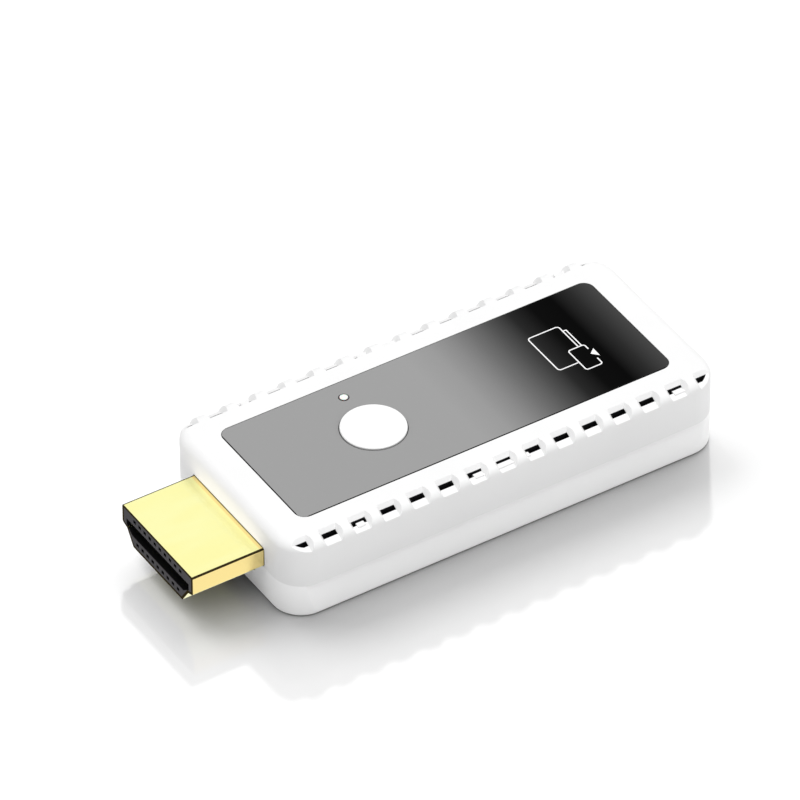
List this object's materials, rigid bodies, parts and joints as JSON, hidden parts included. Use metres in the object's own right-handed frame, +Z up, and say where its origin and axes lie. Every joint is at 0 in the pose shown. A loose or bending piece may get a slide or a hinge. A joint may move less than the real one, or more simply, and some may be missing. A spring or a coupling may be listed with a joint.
{
  "type": "wireless hdmi receiver",
  "caption": "Slim wireless HDMI receiver stick: vented two-part casing, HDMI plug on one end, USB-C power socket on the other, glossy top plate with a push button and a small indicator.",
  "frame": {"origin": "on the resting plane, under the middle of the whole stick, plug included", "axes": "+X along the stick away from the HDMI plug, +Z up through the button, +Y towards the indicator"},
  "size_m": [0.062, 0.0242, 0.0102],
  "materials": {
    "casing_white": "satin moulded white",
    "plate_black": "polished black",
    "adhesive_film": "matt film",
    "button_white": "glossy white",
    "pipe_frosted": "frosted translucent",
    "board_green": "solder mask over glass fibre laminate",
    "gold_plate": "polished gold plating on sheet metal",
    "core_black": "moulded black",
    "socket_steel": "plain sheet steel",
    "spring_steel": "thin spring steel",
    "chip_black": "moulded chip package",
    "pad_grey": "soft filled silicone",
    "spreader_aluminium": "plain sheet",
    "radio_green": "solder mask over glass fibre laminate",
    "shield_steel": "tinned sheet steel",
    "lead_grey": "thin coaxial jacket",
    "film_amber": "polyimide film",
    "lamp_yellow": "clear resin",
    "ferrite_grey": "pressed powder",
    "ceramic_tan": "fired ceramic with tinned ends",
    "crystal_can": "thin metal can"
  },
  "bodies": {
    "housing": {"bottom_shell": "casing_white", "top_shell": "casing_white", "face_plate": "plate_black", "plate_adhesive": "adhesive_film", "light_pipe": "pipe_frosted", "main_board": "board_green", "hdmi_shell": "gold_plate", "hdmi_insulator": "core_black", "hdmi_contacts_upper": "gold_plate", "hdmi_contacts_lower": "gold_plate", "usb_shell": "socket_steel", "usb_tongue": "core_black", "usb_contacts": "gold_plate", "switch_base": "core_black", "switch_cover": "spring_steel", "switch_terminals": "spring_steel", "switch_dome": "spring_steel", "processor_chip": "chip_black", "thermal_pad": "pad_grey", "heat_spreader": "spreader_aluminium", "memory_chip": "chip_black", "flash_chip": "chip_black", "radio_board": "radio_green", "radio_shield": "shield_steel", "antenna_jack": "gold_plate", "antenna_plug": "gold_plate", "antenna_lead": "lead_grey", "antenna_film": "film_amber", "indicator_led": "lamp_yellow", "inductors": "ferrite_grey", "regulators": "chip_black", "crystals": "crystal_can", "capacitors": "ceramic_tan", "guard_chips": "chip_black"},
    "button": {"button_cap": "button_white"},
    "plunger": {"switch_plunger": "core_black"}
  },
  "joints": [
    {"name": "button_press", "type": "slide", "parent": "housing", "child": "button", "axis": [0, 0, -1], "range_m": [0, 0.00025], "stiffness_N_per_m": 4000, "springref_m": -0.0001},
    {"name": "plunger_press", "type": "slide", "parent": "housing", "child": "plunger", "axis": [0, 0, -1], "range_m": [0, 0.00025], "deforming": ["switch_dome"]}
  ],
  "couplings": [
    {"joint": "plunger_press", "follows": "button_press", "ratio": 1}
  ]
}
